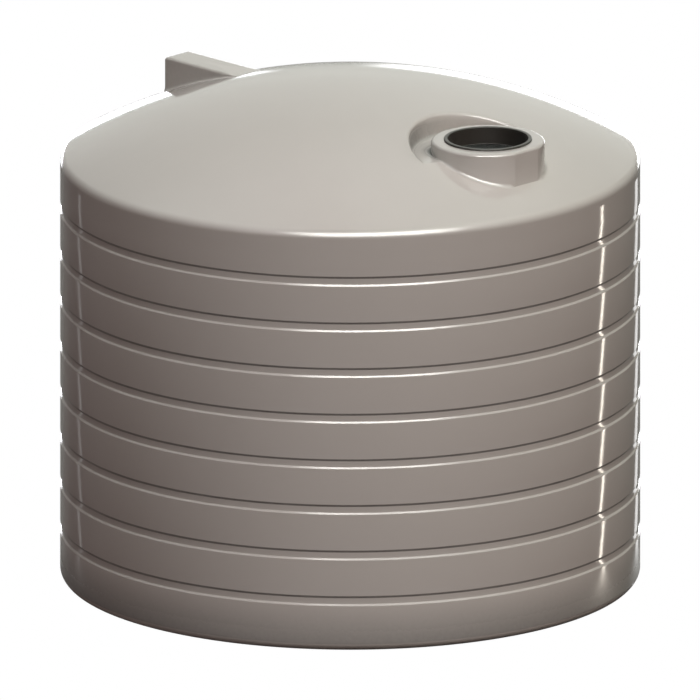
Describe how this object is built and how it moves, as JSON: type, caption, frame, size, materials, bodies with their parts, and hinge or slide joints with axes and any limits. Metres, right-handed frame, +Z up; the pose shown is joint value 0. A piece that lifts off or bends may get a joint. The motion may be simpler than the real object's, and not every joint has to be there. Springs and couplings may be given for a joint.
{
  "type": "water tank",
  "caption": "Round moulded polyethylene rainwater tank with a grooved wall, domed roof, pocketed strainer inlet and raised overflow box.",
  "frame": {"origin": "centre of the base, on the ground", "axes": "+Z up, +X from the tank's axis towards the strainer inlet, -X towards the overflow box"},
  "size_m": [2.95, 2.95, 2.592],
  "materials": {
    "moulded_shell": "warm grey rotationally moulded polyethylene, satin to gloss",
    "black_plastic": "black moulded plastic, satin",
    "mesh_wire": "dull woven stainless mesh"
  },
  "bodies": {
    "root": {"wall_segment_01": "moulded_shell", "wall_segment_02": "moulded_shell", "wall_segment_03": "moulded_shell", "wall_segment_04": "moulded_shell", "wall_segment_05": "moulded_shell", "wall_segment_06": "moulded_shell", "wall_segment_07": "moulded_shell", "wall_segment_08": "moulded_shell", "wall_segment_09": "moulded_shell", "wall_segment_10": "moulded_shell", "wall_segment_11": "moulded_shell", "wall_segment_12": "moulded_shell", "floor_panel": "moulded_shell", "roof_crown": "moulded_shell", "roof_panel_left_1": "moulded_shell", "roof_panel_left_2": "moulded_shell", "roof_panel_left_3": "moulded_shell", "roof_panel_left_4": "moulded_shell", "roof_panel_right_1": "moulded_shell", "roof_panel_right_2": "moulded_shell", "roof_panel_right_3": "moulded_shell", "roof_panel_right_4": "moulded_shell", "roof_inlet_panel": "moulded_shell", "roof_overflow_panel": "moulded_shell", "inlet_boss_wall": "moulded_shell", "inlet_boss_top": "moulded_shell", "inlet_pocket_floor": "moulded_shell", "inlet_pocket_wall": "moulded_shell", "overflow_box_top": "moulded_shell", "overflow_box_end": "moulded_shell", "overflow_box_left": "moulded_shell", "overflow_box_right": "moulded_shell", "strainer_rim": "black_plastic", "strainer_basket": "black_plastic", "strainer_mesh": "mesh_wire"}
  },
  "joints": []
}
